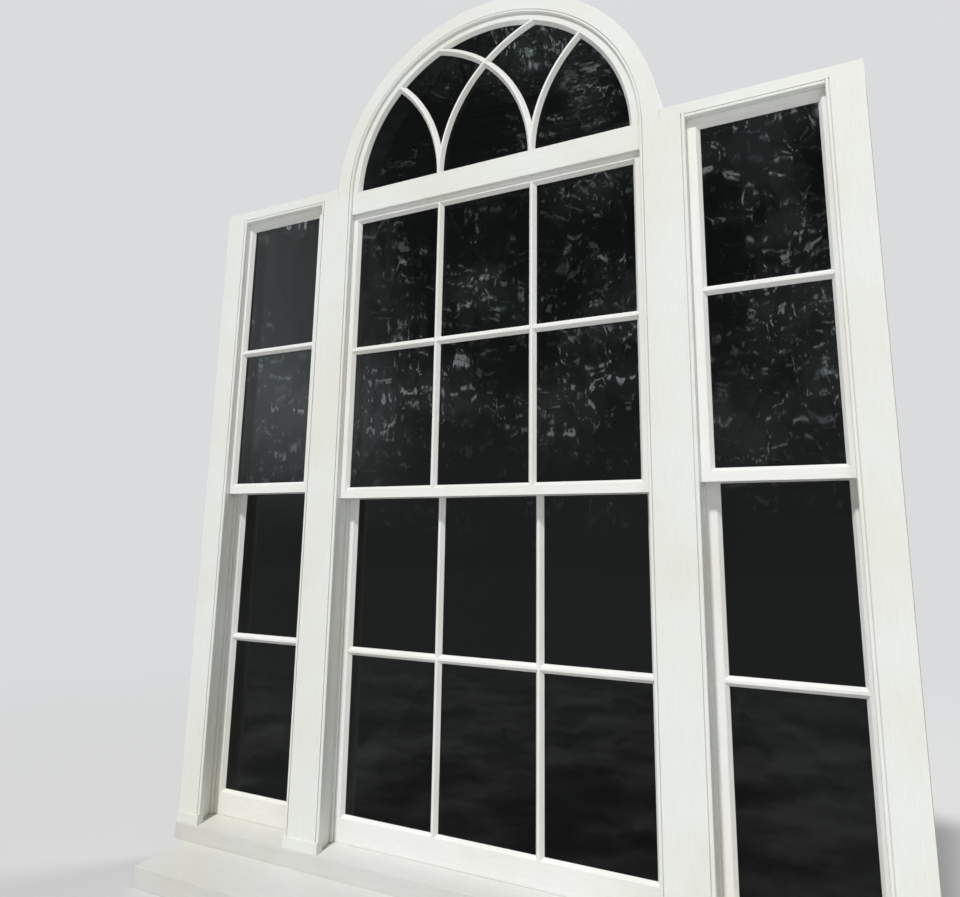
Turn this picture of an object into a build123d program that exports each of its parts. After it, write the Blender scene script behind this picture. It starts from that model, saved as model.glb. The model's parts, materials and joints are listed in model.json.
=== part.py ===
from build123d import *
import math
import os

# Venetian window: three lights of hung sashes in one boxed frame, with a fanlight over the
# middle light. Millimetres. +X is to the right seen from outside, +Y goes into the building,
# +Z is up. y = 0 is the outer face of the linings, x = 0 is the middle, z = 0 is the bottom.
os.makedirs("parts", exist_ok=True)

# Widths across the window
centre_clear = 1050
mullion_lining = 135
side_clear = 370
lining_lap = 12
jamb_lap = 25
jamb_cavity = 38
pulley_stile = 22
back_lining = 10
head_lap = 14

# Depths
lining = 20
inner_lining = 20
sash = 45
sash_play = 1
parting_bead = 8
parting_proud = 10
parting_groove = 6
staff_proud = 10
staff_depth = 14.6
rim_setback = 8
slip = 6

# Quirked bead on the edges of the outer linings
bead_width = 9
quirk = 2.5
quirk_depth = 3
bead_round = 3.5

# Heights
sub_sill_height = 80
sub_sill_reach = 200
sub_sill_fall = 20
sub_sill_half = 1081
sill_height = 67
sill_nose = 10
nose_height = 50
centre_meeting = 1053
side_meeting = 1077
side_top_glass = 970
head_board = 30
transom_height = 76
fan_rise = 14
arch_casing = 62
fan_rim = 32
block_rise = 16
block_proud = 6

# Sash members, seen from outside
centre_columns = 3
centre_stile = 38
side_stile = 44
top_rail = 44
bottom_rail = 79
meeting_rail = 36
bar = 26
rebate = 9.5
shoulder = 16
ovolo_start = 6
ovolo_width = 8
ovolo_end = 4
splay_low = 3
bead_gap = 10

# Glass and putty
glass = 3
tuck = 7.5
pane_gap = 1
putty_lip = 1.2

# Clearances
play = 3
gap = 0.3
seat_gap = 0.5
splay_gap = 0.3
bead_clear = 2
fit_gap = 0.15

# Cord, pulleys and weights
cord_d = 6.5
pitch_r = 22
flange_r = 25
wheel_w = 12
wheel_set = 18
pin_d = 6
bore_gap = 0.075
cheek = 2
cheek_gap = 0.6
case_depth = 44
case_height = 58
plate = 2.5
plate_w = 26
plate_h = 112
pulley_drop = 105
cord_groove = 12
cord_groove_w = 15
groove_length = 300
cord_end_depth = 270
weight_x = 26
weight_y = 42
centre_iron_length = 834
side_iron_length = 362
weight_foot = 12
weight_head = 60
cord_hole = 30

# Pocket pieces
pocket_low = 85
pocket_height = 400
pocket_w = 38

# Fanlight
slot_depth = 8
arch_reveal = 510
outer_sweep = 56
inner_sweep = 78

# Small sizes of the sill, beads and box
throat_back = 14
throat_size = 7
staff_round = 6
bead_slack = 0.1
arch_inner = 38
slip_side = 6
slip_foot = 14
pocket_margin = 4.5
plate_flat = 1
putty_edge = 0.8
groove_slack = 0.35
groove_taper = 1.5
wheel_rim = 1.4
pin_slack = 0.05

# Fasteners and lifts
base_w = 50
base_d = 20
base_t = 3
post_r = 4
post_h = 7
cap_t = 2
lever_back = 16
lever_reach = 48
lever_w = 9
lever_t = 5
lever_lift = 1
lever_boss = 8
knob_reach = 24
knob_r = 6
knob_h = 12
keep_y = 27
keep_d = 14
keep_wall = 3
keep_slack = 1
lift_w = 34
lift_h = 36
hook_w = 20
hook_r = 16
lift_spread = 300

# Places worked out from the sizes above
x_mull = centre_clear / 2
x_face_c = x_mull + lining_lap
x_back_c = x_face_c + pulley_stile
x_mull_out = x_mull + mullion_lining
x_face_s = x_mull_out - lining_lap
x_back_s = x_face_s - pulley_stile
x_jamb = x_mull_out + side_clear
x_face_j = x_jamb + jamb_lap
x_back_j = x_face_j + pulley_stile
x_out = x_back_j + jamb_cavity + back_lining
y_upper = lining
channel = sash + 2 * sash_play
y_part = y_upper + channel
y_lower = y_part + parting_bead
y_inner = y_lower + channel
y_back = y_inner + inner_lining
y_up_sash = y_upper + sash_play
y_low_sash = y_lower + sash_play
y_mid_up = y_upper + channel / 2
y_mid_low = y_lower + channel / 2
z_sub = sub_sill_height
z_seat = z_sub + sill_height
z_sash = z_seat + seat_gap
z_meet_c = z_seat + centre_meeting
z_meet_s = z_seat + side_meeting
z_top_s = z_meet_s + meeting_rail + side_top_glass + top_rail
z_head_s = z_top_s + seat_gap
z_spring = z_head_s
z_fan = z_spring + fan_rise
z_head_c = z_fan - transom_height
z_top_c = z_head_c - seat_gap
z_block = z_seat + block_rise
z_side_top = z_head_s + head_board
fan_r = x_mull - fan_rim
casing_r = x_mull + arch_casing
y_fan = rim_setback
y_fan_glass = y_fan + shoulder - glass
centre_sight = 2 * (x_face_c - play - centre_stile)
centre_pane = (centre_sight - (centre_columns - 1) * bar) / centre_columns
bar_x = (centre_pane + bar) / 2


def block(x0, x1, y0, y1, z0, z1):
    """A box between two corners, whichever way round they are given."""
    size = (abs(x1 - x0), abs(y1 - y0), abs(z1 - z0))
    middle = ((x0 + x1) / 2, (y0 + y1) / 2, (z0 + z1) / 2)
    return Pos(*middle) * Box(*size)


def along_x(points, x0, x1):
    """A section of (y, z) points drawn out from x0 to x1."""
    start = Plane(origin=(x0, 0, 0), x_dir=(0, 1, 0), z_dir=(1, 0, 0))
    return extrude(start * make_face(Polyline(*points, close=True)), x1 - x0)


def both_sides(shape):
    """A shape and its mirror image in the middle of the window."""
    return [shape, mirror(shape, Plane.YZ)]


def solids_of(shapes):
    """Every separate solid of a list of shapes."""
    found = []
    for shape in shapes:
        found.extend(shape.solids())
    return found


def write(name, shapes):
    """One STEP file per node; its solids stay separate."""
    found = solids_of(shapes)
    whole = found[0] if len(found) == 1 else Compound(children=found)
    export_step(whole, "parts/" + name + ".step")


# Linings with a quirked bead worked on an edge


def beaded_board(x0, x1, z0, z1, sides):
    """An outer lining, with a bead up its left (-1) or right (1) edge, or up both."""
    board = block(x0, x1, 0, lining, z0, z1)
    for side in sides:
        edge = x0 if side < 0 else x1
        near = edge - side * bead_width
        board = board - block(near, near - side * quirk, 0, quirk_depth, z0, z1)
        arrises = board.edges().filter_by(Axis.Z).group_by(Axis.Y)[0].sort_by(Axis.X)
        board = fillet(arrises[0] if side < 0 else arrises[-1], bead_round)
    return board


def outer_linings():
    mullion = beaded_board(x_mull, x_mull_out, z_block, z_spring, (-1, 1))
    jamb = beaded_board(x_jamb, x_out, z_block, z_spring, (-1,))
    low_edge = z_head_s - head_lap
    groove = low_edge + bead_width
    head = block(x_mull_out, x_jamb, 0, lining, low_edge, z_spring)
    head = head - block(x_mull_out, x_jamb, 0, quirk_depth, groove, groove + quirk)
    arrises = head.edges().filter_by(Axis.X).group_by(Axis.Y)[0].sort_by(Axis.Z)
    head = fillet(arrises[0], bead_round)
    top = block(casing_r + gap, x_out, 0, lining, z_spring, z_side_top)
    return both_sides(mullion) + both_sides(jamb) + both_sides(head) + both_sides(top)


def half_turn(section):
    """Turn a section of radius and depth half round over the springing line."""
    return Pos(0, 0, z_spring) * revolve(section, Axis((0, 0, 0), (0, -1, 0)), 180)


def arch_casing_ring():
    """The outer lining that follows the arch, beaded like the mullion below it."""
    near = x_mull + bead_width
    far = near + quirk
    points = [(x_mull, bead_round), (x_mull + bead_round, 0), (near, 0), (near, quirk_depth)]
    points += [(far, quirk_depth), (far, 0), (casing_r, 0), (casing_r, lining), (x_mull, lining)]
    return half_turn(make_face(Polyline(*points, close=True)))


def inner_linings():
    """The flat linings seen from the room, with their own arch."""
    mullion = block(x_face_c, x_face_s, y_inner, y_back, z_seat, z_spring)
    jamb = block(x_face_j, x_out, y_inner, y_back, z_seat, z_spring)
    inner_r = x_face_c + arch_inner
    head = block(inner_r + gap, x_out, y_inner, y_back, z_spring, z_side_top)
    points = [(x_face_c, y_inner), (inner_r, y_inner), (inner_r, y_back), (x_face_c, y_back)]
    arch = half_turn(make_face(Polyline(*points, close=True)))
    arch = arch - block(-x_face_c, x_face_c, y_inner, y_back, z_spring, z_fan)
    return both_sides(mullion) + both_sides(jamb) + both_sides(head) + [arch]


# Sill, sub-sill and the blocks that the outer linings stand on

def sill():
    """The oak sill: flat under the lower sashes, weathered in front of them."""
    points = [(-sill_nose, z_sub), (-sill_nose, z_sub + nose_height), (y_lower - sash_play, z_seat)]
    points += [(y_back, z_seat), (y_back, z_sub)]
    return along_x(points, -x_out, x_out)


def sub_sill():
    """The broad ledge in front, falling away from the frame, throated below its front edge."""
    front = -sub_sill_reach
    near = front + throat_back
    far = near + throat_size
    points = [(y_back, 0), (y_back, z_sub), (-sill_nose, z_sub), (front, z_sub - sub_sill_fall)]
    points += [(front, 0), (near, 0), (near, throat_size), (far, throat_size), (far, 0)]
    return along_x(points, -sub_sill_half, sub_sill_half)


def plinth_blocks():
    """A block under each outer lining, cut to the slope of the sill."""
    blocks = []
    for x0, x1 in ((x_mull, x_mull_out), (x_jamb, x_out)):
        blocks += both_sides(block(x0, x1, -block_proud, lining, z_sub, z_block) - sill())
    return blocks


# Pulley stiles: one description serves the six of them

stiles = [
    (x_face_c, 1, z_head_c),
    (-x_face_c, -1, z_head_c),
    (x_face_s, -1, z_head_s),
    (x_face_j, 1, z_head_s),
    (-x_face_j, -1, z_head_s),
    (-x_face_s, 1, z_head_s),
]
channels = (y_mid_up, y_mid_low)


def face_plate(face, way, y, z, grow=0.0):
    """The round-ended plate of a pulley, let in flush with the stile's face."""
    half_w = plate_w / 2 + grow
    half_h = plate_h / 2 + grow
    slab = block(face, face + way * plate, y - half_w, y + half_w, z - half_h, z + half_h)
    return fillet(slab.edges().filter_by(Axis.X), half_w - plate_flat)


def pulley_mortise(face, way, y, z):
    """The hole through a stile that takes a pulley's case."""
    half_w = wheel_w / 2 + cheek_gap + cheek + gap
    half_h = case_height / 2 + gap
    hole = block(face, face + way * pulley_stile, y - half_w, y + half_w, z - half_h, z + half_h)
    return hole + face_plate(face, way, y, z, fit_gap)


def pocket(face, way, grow=0.0):
    """The loose piece of a stile that opens to reach the weights."""
    y0 = y_lower + pocket_margin - grow
    y1 = y0 + pocket_w + 2 * grow
    z0 = z_seat + pocket_low - grow
    z1 = z0 + pocket_height + 2 * grow
    return block(face, face + way * pulley_stile, y0, y1, z0, z1)


def pulley_stile_board(face, way, z_head):
    """A stile between two heads, grooved for the parting bead and cut for pulleys and pocket."""
    board = block(face, face + way * pulley_stile, y_upper, y_inner, z_sub, z_head) - sill()
    board = board - block(face, face + way * parting_groove, y_part, y_lower, z_sub, z_head)
    for y in channels:
        board = board - pulley_mortise(face, way, y, z_head - pulley_drop)
    return board - pocket(face, way, fit_gap)


def parting_beads():
    """The beads between the two channels, up both sides and across the head of each light."""
    beads = []
    y0 = y_part + bead_slack
    y1 = y_lower - bead_slack
    for face, way, z_head in stiles:
        x0 = face - way * parting_proud
        x1 = face + way * (parting_groove - gap)
        beads.append(block(x0, x1, y0, y1, z_seat, z_head - parting_proud - gap))
    for x0, x1, z_head in lights:
        beads.append(block(x0, x1, y0, y1, z_head - parting_proud, z_head + parting_groove - gap))
    return beads


def staff_bead(x0, x1, z0, z1, axis, corner):
    """A length of bead against the inner lining, rounded towards the light."""
    bead = block(x0, x1, y_inner + gap, y_inner + gap + staff_depth, z0, z1)
    across = Axis.X if axis == Axis.Z else Axis.Z
    edges = bead.edges().filter_by(axis).group_by(Axis.Y)[-1].sort_by(across)
    return fillet(edges[corner], staff_round)


def staff_beads():
    """The beads that hold the lower sashes in from the room side."""
    beads = []
    for face, way, z_head in stiles:
        corner = 0 if way > 0 else -1
        z0 = z_seat + staff_proud
        z1 = z_head - staff_proud
        beads.append(staff_bead(face - way * staff_proud, face, z0, z1, Axis.Z, corner))
    for x0, x1, z_head in lights:
        beads.append(staff_bead(x0, x1, z_seat, z_seat + staff_proud, Axis.X, -1))
        beads.append(staff_bead(x0, x1, z_head - staff_proud, z_head, Axis.X, 0))
    return beads


# Boxes for the weights

def back_linings():
    return both_sides(block(x_out - back_lining, x_out, y_upper, y_inner, z_seat, z_head_s))


def parting_slips():
    """Thin boards hung in the boxes, so that the weights of the two sashes can't meet."""
    y0 = y_part + parting_bead / 2 - slip / 2
    slips = []
    for x0, x1 in ((x_back_c, x_back_s), (x_back_j, x_out - back_lining)):
        board = block(x0 + slip_side, x1 - slip_side, y0, y0 + slip, z_seat + slip_foot, z_head_s)
        slips += both_sides(board)
    return slips


def side_heads():
    """The head boards of the two side lights, which run back over the mullion boxes."""
    head = block(x_back_c + gap, x_out, y_upper, y_inner, z_head_s, z_side_top)
    head = head - block(x_face_s, x_face_j, y_part, y_lower, z_head_s, z_head_s + parting_groove)
    return both_sides(head)


# Transom and fanlight

def transom():
    """The moulded bar between the middle light and the fanlight."""
    glass_back = y_fan_glass + glass + gap
    z_slot = z_fan - slot_depth
    z_groove = z_head_c + parting_groove
    points = [(y_fan, z_head_c - head_lap), (y_fan, z_fan - rebate), (y_fan_glass, z_fan)]
    points += [(y_fan_glass, z_slot), (glass_back, z_slot), (glass_back, z_fan), (y_back, z_fan)]
    points += [(y_back, z_head_c), (y_lower, z_head_c), (y_lower, z_groove), (y_part, z_groove)]
    points += [(y_part, z_head_c), (lining, z_head_c), (lining, z_head_c - head_lap)]
    outer_end = block(x_mull - gap, x_back_c, 0, lining, z_head_c - head_lap, z_fan)
    inner_end = block(x_face_c, x_back_c, y_inner, y_back, z_head_c, z_fan)
    bead_end = block(x_face_c, x_back_c, y_part, y_lower, z_head_c, z_groove)
    bar_all = along_x(points, -x_back_c, x_back_c)
    for end in (outer_end, inner_end, bead_end):
        for cutter in both_sides(end):
            bar_all = bar_all - cutter
    return bar_all


def arch_frame(transom_bar):
    """The curved head that the fanlight is glazed into, scribed to the transom's bevel."""
    glass_back = y_fan_glass + glass + gap
    inner = fan_r + ovolo_width
    front = Polyline(
        (inner, y_fan + sash),
        (arch_reveal, y_fan + sash),
        (arch_reveal, y_inner),
        (x_back_c, y_inner),
        (x_back_c, lining),
        (x_mull - gap, lining),
        (x_mull - gap, y_fan),
        (fan_r + rebate, y_fan),
        (fan_r, y_fan_glass),
        (fan_r + slot_depth, y_fan_glass),
        (fan_r + slot_depth, glass_back),
        (fan_r, glass_back),
        (fan_r, glass_back + ovolo_start),
    )
    curve = ovolo((fan_r, glass_back + ovolo_start), (inner, y_fan + sash))
    ring = half_turn(make_face([*front.edges(), curve]))
    below = block(-x_out, x_out, 0, y_back, z_sub, z_fan)
    reach = x_mull - gap
    bevel = block(-reach, reach, y_fan, y_fan_glass, z_fan - rebate, z_fan)
    return ring - (below - bevel) - transom_bar


def ovolo(start, end):
    """The quarter-round moulding of a sash member, bulging towards its first point."""
    lean = math.sqrt(0.5)
    middle = (start[0] + (end[0] - start[0]) * (1 - lean), start[1] + (end[1] - start[1]) * lean)
    return ThreePointArc(start, middle, end)


def tracery_section():
    """A fanlight bar: puttied bevels in front, slots for the glass, mouldings behind."""
    half = bar / 2
    nose = half - rebate
    neck = nose + seat_gap
    depth = y_fan_glass + glass + gap
    flank = [(fan_r + nose, y_fan), (fan_r + half, y_fan_glass), (fan_r + neck, y_fan_glass)]
    flank += [(fan_r + neck, depth), (fan_r + half, depth), (fan_r + half, depth + ovolo_start)]
    right = Polyline(*flank)
    left = Polyline(*[(2 * fan_r - r, y) for r, y in flank])
    back_r = half - ovolo_width
    back_y = y_fan + sash - ovolo_end
    right_curve = ovolo(flank[-1], (fan_r + back_r, back_y))
    left_curve = ovolo((fan_r - half, depth + ovolo_start), (fan_r - back_r, back_y))
    nose_line = Line((fan_r - nose, y_fan), (fan_r + nose, y_fan))
    back_line = Line((fan_r - back_r, back_y), (fan_r + back_r, back_y))
    return make_face([*right.edges(), *left.edges(), right_curve, left_curve, nose_line, back_line])


def swung(section, x_centre, angle):
    """A section swung up about a centre on the springing line, from the right-hand side."""
    return Pos(x_centre, 0, z_spring) * revolve(section, Axis((0, 0, 0), (0, -1, 0)), angle)


def intersecting_arcs(section):
    """The four curved bars: two from each springer, all of the fanlight's own radius."""
    outer = swung(section, -bar_x - fan_r, outer_sweep)
    inner = swung(section, bar_x - fan_r, inner_sweep)
    return both_sides(outer) + both_sides(inner)


def tracery_bars(transom_bar, arch):
    """Intersecting tracery, scribed to the arch and the transom."""
    field = Pos(0, y_fan + sash / 2, z_spring) * (Rot(90, 0, 0) * Cylinder(fan_r + rebate, sash))
    bars = None
    for piece in intersecting_arcs(tracery_section()):
        bars = piece if bars is None else bars + piece
    return (bars & field) - transom_bar - arch


def fanlight_panes():
    """The six panes, cut to the shapes that the bars leave."""
    reach = fan_r + tuck
    y0 = y_fan_glass
    sheet = Pos(0, y0 + glass / 2, z_spring) * (Rot(90, 0, 0) * Cylinder(reach, glass))
    sheet = sheet - block(-reach, reach, y0, y0 + glass, z_spring - reach, z_fan - tuck)
    half = bar / 2 - rebate + pane_gap
    near = fan_r - half
    far = fan_r + half
    points = [(near, 0), (far, 0), (far, y_inner), (near, y_inner)]
    for strip in intersecting_arcs(make_face(Polyline(*points, close=True))):
        sheet = sheet - strip
    return sheet


# Sash members, described by their section: first number across, second number into the building

def edge_section(width):
    """A stile or rail: square outer edge, rebate for glass and putty in front, ovolo behind."""
    front = Polyline(
        (width - ovolo_width, sash - ovolo_end),
        (width - ovolo_width, sash),
        (0, sash),
        (0, 0),
        (width - rebate, 0),
        (width - rebate, shoulder),
        (width, shoulder),
        (width, shoulder + ovolo_start),
    )
    curve = ovolo((width, shoulder + ovolo_start), (width - ovolo_width, sash - ovolo_end))
    return make_face([*front.edges(), curve])


def bar_section():
    """A glazing bar: the same rebate and ovolo on both sides of a narrow nose."""
    half = bar / 2
    nose = half - rebate
    back = half - ovolo_width
    front_part = Polyline(
        (-half, shoulder + ovolo_start),
        (-half, shoulder),
        (-nose, shoulder),
        (-nose, 0),
        (nose, 0),
        (nose, shoulder),
        (half, shoulder),
        (half, shoulder + ovolo_start),
    )
    back_part = Polyline(
        (back, sash - ovolo_end),
        (back, sash),
        (-back, sash),
        (-back, sash - ovolo_end),
    )
    right_curve = ovolo((half, shoulder + ovolo_start), (back, sash - ovolo_end))
    left_curve = ovolo((-half, shoulder + ovolo_start), (-back, sash - ovolo_end))
    return make_face([*front_part.edges(), *back_part.edges(), right_curve, left_curve])


def splay(sash_face, side):
    """Depths of the meeting line at the rail's top and bottom, from a sash's own face."""
    middle = y_part + parting_bead / 2 + side * splay_gap - sash_face
    return middle - splay_low, middle + splay_low


def upper_meeting_section():
    """The upper sash's meeting rail: rebated in front, splayed where it meets the lower sash."""
    top, bottom = splay(y_up_sash, -1)
    w = meeting_rail
    points = [(0, 0), (w - rebate, 0), (w - rebate, shoulder), (w, shoulder), (w, top), (0, bottom)]
    return make_face(Polyline(*points, close=True))


def lower_meeting_section():
    """The lower sash's meeting rail, grooved for the glass because it can't be puttied."""
    top, bottom = splay(y_low_sash, 1)
    w = meeting_rail
    front = Polyline(
        (w - ovolo_width, sash - ovolo_end),
        (w - ovolo_width, sash),
        (0, sash),
        (0, top),
        (w, bottom),
        (w, shoulder - glass),
        (w - slot_depth, shoulder - glass),
        (w - slot_depth, shoulder + gap),
        (w, shoulder + gap),
        (w, shoulder + ovolo_start),
    )
    curve = ovolo((w, shoulder + ovolo_start), (w - ovolo_width, sash - ovolo_end))
    return make_face([*front.edges(), curve])


def upright(section, x, y, z0, z1):
    """A member standing from z0 to z1, with its section's zero at x, y."""
    return Pos(x, y, z0) * extrude(section, z1 - z0)


def level(section, x0, x1, y, z):
    """A member lying from x0 to x1, with its section's zero at y, z and running upwards."""
    return Pos(x1, y, z) * (Rot(0, -90, 0) * extrude(section, x1 - x0))


def hanging(section, x0, x1, y, z):
    """The same, with its section running downwards from z."""
    turned = mirror(level(section, x0, x1, y, 0), Plane.XY)
    return Pos(0, 0, z) * turned


def putty_runs(a, b, c, d, y):
    """The putty round one pane: below it, left, right and above, mitred where the runs meet."""
    reach = rebate - putty_edge
    depth = shoulder - glass - putty_lip
    slope = math.degrees(math.atan2(reach, depth))
    start = Plane(origin=((a + b) / 2, y, (c + d) / 2), x_dir=(1, 0, 0), z_dir=(0, 1, 0))
    hole = extrude(start * Rectangle(b - a + 2 * reach, d - c + 2 * reach), depth, taper=slope)
    inner = [(a, c), (b, c), (a, d), (b, d)]
    outer = [(a - rebate, c - rebate), (b + rebate, c - rebate)]
    outer += [(a - rebate, d + rebate), (b + rebate, d + rebate)]
    runs = []
    for i, j in ((0, 1), (0, 2), (1, 3), (2, 3)):
        corners = [outer[i], outer[j], inner[j], inner[i]]
        face = make_face(Polyline(*[(x, y, z) for x, z in corners], close=True))
        runs.append(extrude(face, depth, dir=(0, 1, 0)) - hole)
    return runs


class Sash:
    """One sash: its outline, its members and its glass."""

    def __init__(self, name, x0, x1, z0, z1, upper, stile, columns):
        self.name = name
        self.x0 = x0
        self.x1 = x1
        self.z0 = z0
        self.z1 = z1
        self.upper = upper
        self.stile = stile
        self.columns = columns
        self.y = y_up_sash if upper else y_low_sash
        self.low = meeting_rail if upper else bottom_rail
        self.high = top_rail if upper else meeting_rail
        self.sight_z = (z0 + self.low, z1 - self.high)
        self.sight_x = (x0 + stile, x1 - stile)

    def plain_stiles(self):
        section = edge_section(self.stile)
        left = upright(section, self.x0, self.y, self.z0, self.z1)
        right = mirror(upright(section, -self.x1, self.y, self.z0, self.z1), Plane.YZ)
        return [left, right]

    def cord_grooves(self):
        """Grooves for the cords, down the outer edge of each stile from its top."""
        y = self.y + sash / 2
        y0 = y - cord_groove_w / 2
        y1 = y + cord_groove_w / 2
        z0 = self.z1 - groove_length
        left = block(self.x0, self.x0 + cord_groove, y0, y1, z0, self.z1)
        right = block(self.x1 - cord_groove, self.x1, y0, y1, z0, self.z1)
        return [left, right]

    def bead_notches(self):
        """Notches in the meeting rail that pass the parting beads."""
        reach = parting_proud - play + bead_clear
        rail_z = self.z0 if self.upper else self.z1 - meeting_rail
        y0 = self.y + sash if self.upper else self.y - bead_gap
        left = block(self.x0, self.x0 + reach, y0, y0 + bead_gap, rail_z, rail_z + meeting_rail)
        right = block(self.x1 - reach, self.x1, y0, y0 + bead_gap, rail_z, rail_z + meeting_rail)
        return [left, right]

    def rails(self, stiles_now):
        low_section = upper_meeting_section() if self.upper else edge_section(bottom_rail)
        high_section = edge_section(top_rail) if self.upper else lower_meeting_section()
        low = level(low_section, self.x0, self.x1, self.y, self.z0)
        high = hanging(high_section, self.x0, self.x1, self.y, self.z1)
        made = []
        for rail in (low, high):
            for cutter in stiles_now + self.bead_notches():
                rail = rail - cutter
            made.append(rail)
        return made

    def bar_places(self):
        """Middles of the upright bars, and of the level one."""
        x0, x1 = self.sight_x
        pane = (x1 - x0 - (self.columns - 1) * bar) / self.columns
        uprights = [x0 + (i + 1) * (pane + bar) - bar / 2 for i in range(self.columns - 1)]
        return uprights, (self.sight_z[0] + self.sight_z[1]) / 2

    def bars(self, stiles_now, rails_now):
        uprights, z_mid = self.bar_places()
        z0 = self.sight_z[0] - shoulder
        z1 = self.sight_z[1] + shoulder
        made = []
        for x in uprights:
            stick = upright(bar_section(), x, self.y, z0, z1)
            for rail in rails_now:
                stick = stick - rail
            made.append(stick)
        x0 = self.sight_x[0] - shoulder
        x1 = self.sight_x[1] + shoulder
        cross = level(bar_section(), x0, x1, self.y, z_mid)
        for cutter in stiles_now + made:
            cross = cross - cutter
        return made + [cross]

    def openings(self):
        """Sight sizes of the panes, as x0, x1, z0, z1."""
        uprights, z_mid = self.bar_places()
        flanks = [x + side * bar / 2 for x in uprights for side in (-1, 1)]
        xs = [self.sight_x[0]] + flanks + [self.sight_x[1]]
        zs = [self.sight_z[0], z_mid - bar / 2, z_mid + bar / 2, self.sight_z[1]]
        spans_x = [(xs[i], xs[i + 1]) for i in range(0, len(xs), 2)]
        spans_z = [(zs[i], zs[i + 1]) for i in range(0, len(zs), 2)]
        return [(a, b, c, d) for a, b in spans_x for c, d in spans_z]

    def panes(self):
        y0 = self.y + shoulder - glass
        made = []
        for a, b, c, d in self.openings():
            made.append(block(a - tuck, b + tuck, y0, y0 + glass, c - tuck, d + tuck))
        return made

    def putty(self, rails_now):
        """Four runs of bevelled putty round each pane; a grooved rail needs none below it."""
        made = []
        for a, b, c, d in self.openings():
            grooved = not self.upper and d == self.sight_z[1]
            runs = putty_runs(a, b, c, d, self.y + putty_lip)
            if grooved:
                runs = [run - rails_now[1] for run in runs[:3]]
            made += runs
        return made

    def parts(self):
        stiles_now = self.plain_stiles()
        rails_now = self.rails(stiles_now)
        bars_now = self.bars(stiles_now, rails_now)
        grooved = [stile - groove for stile, groove in zip(stiles_now, self.cord_grooves())]
        return grooved + rails_now, bars_now, self.panes(), self.putty(rails_now)


# Pulleys, cords and weights

def wheel(x, y, z):
    """A grooved wheel, bored to run on its pin."""
    half = wheel_w / 2
    bore = pin_d / 2 + bore_gap
    groove = cord_d / 2 + groove_slack
    rim = half - wheel_rim
    floor = groove - groove_taper
    flank = [(bore, half), (flange_r, half), (flange_r, rim), (pitch_r, groove)]
    flank += [(pitch_r - groove, floor)]
    other = [(r, -across) for r, across in reversed(flank)]
    outline = Polyline(*flank, *other, close=True)
    return Pos(x, y, z) * revolve(make_face(outline), Axis.Y, 360)


def pulley_case(face, way, y, z):
    """Face plate and cheeks in one casting, with the axle pin through the cheeks."""
    half = wheel_w / 2 + cheek_gap
    tall = case_height / 2
    body = face_plate(face, way, y, z)
    for side in (-1, 1):
        y0 = y + side * half
        y1 = y0 + side * cheek
        body = body + block(face, face + way * case_depth, y0, y1, z - tall, z + tall)
    slot = block(face, face + way * plate, y - half, y + half, z - tall + cheek, z + tall - cheek)
    length = 2 * (half + cheek)
    place = Pos(face + way * wheel_set, y, z) * Rot(90, 0, 0)
    pin = place * Cylinder(pin_d / 2, length)
    hole = place * Cylinder(pin_d / 2 + pin_slack, length)
    return [body - slot - hole, pin]


def cord(face, way, y, z, z_sash_end, z_weight_end):
    """A cord from the sash's groove, over the wheel and down to the weight."""
    x_sash = face + way * (wheel_set - pitch_r)
    x_weight = face + way * (wheel_set + pitch_r)
    x_wheel = face + way * wheel_set
    rise = Line((x_sash, y, z_sash_end), (x_sash, y, z))
    over = ThreePointArc((x_sash, y, z), (x_wheel, y, z + pitch_r), (x_weight, y, z))
    drop = Line((x_weight, y, z), (x_weight, y, z_weight_end))
    start = Plane(origin=(x_sash, y, z_sash_end), z_dir=(0, 0, 1))
    return sweep(start * Circle(cord_d / 2), path=Wire([rise, over, drop]))


def weight(x, y, z0, length):
    """A cast weight with a hole in its top for the knotted cord."""
    body = Pos(x, y, z0 + length / 2) * Box(weight_x, weight_y, length)
    hole = Pos(x, y, z0 + length - cord_hole / 2) * Cylinder(cord_d / 2 + seat_gap, cord_hole)
    return body - hole


def hung(a_sash, pair, length):
    """Wheels, cases, cords and weights of one sash, one of each on its left and its right."""
    y = y_mid_up if a_sash.upper else y_mid_low
    wheels, cases, cords, weights = [], [], [], []
    for face, way, z_head in pair:
        z = z_head - pulley_drop
        x_weight = face + way * (wheel_set + pitch_r)
        z_weight = z_seat + weight_foot if a_sash.upper else z - weight_head - length
        wheels.append(wheel(face + way * wheel_set, y, z))
        cases += pulley_case(face, way, y, z)
        z_knot = z_weight + length - cord_hole + seat_gap
        cords.append(cord(face, way, y, z, a_sash.z1 - cord_end_depth, z_knot))
        weights.append(weight(x_weight, y, z_weight, length))
    return wheels, cases, cords, weights


# Fasteners, keeps and lifts

def lever(x, z):
    """The arm of a sash fastener, lying along the rail when it is open."""
    y = y_low_sash + lever_back
    half = lever_w / 2
    middle = Pos(x, y, z + lever_t / 2)
    arm = block(x - knob_reach, x + lever_reach, y - half, y + half, z, z + lever_t)
    boss = middle * Cylinder(lever_boss, lever_t)
    knob = Pos(x - knob_reach, y, z + knob_h / 2) * Cylinder(knob_r, knob_h)
    hole = middle * Cylinder(post_r + bore_gap, lever_t)
    return arm + boss + knob - hole


def fastener_base(x, z):
    """The plate and post of a fastener, screwed to the lower sash's meeting rail."""
    y = y_low_sash + lever_back
    base = block(x - base_w / 2, x + base_w / 2, y - base_d / 2, y + base_d / 2, z, z + base_t)
    post = Pos(x, y, z + base_t + post_h / 2) * Cylinder(post_r, post_h)
    cap = Pos(x, y, z + base_t + post_h + cap_t / 2) * Cylinder(post_r + cap_t, cap_t)
    return base + post + cap


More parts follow.
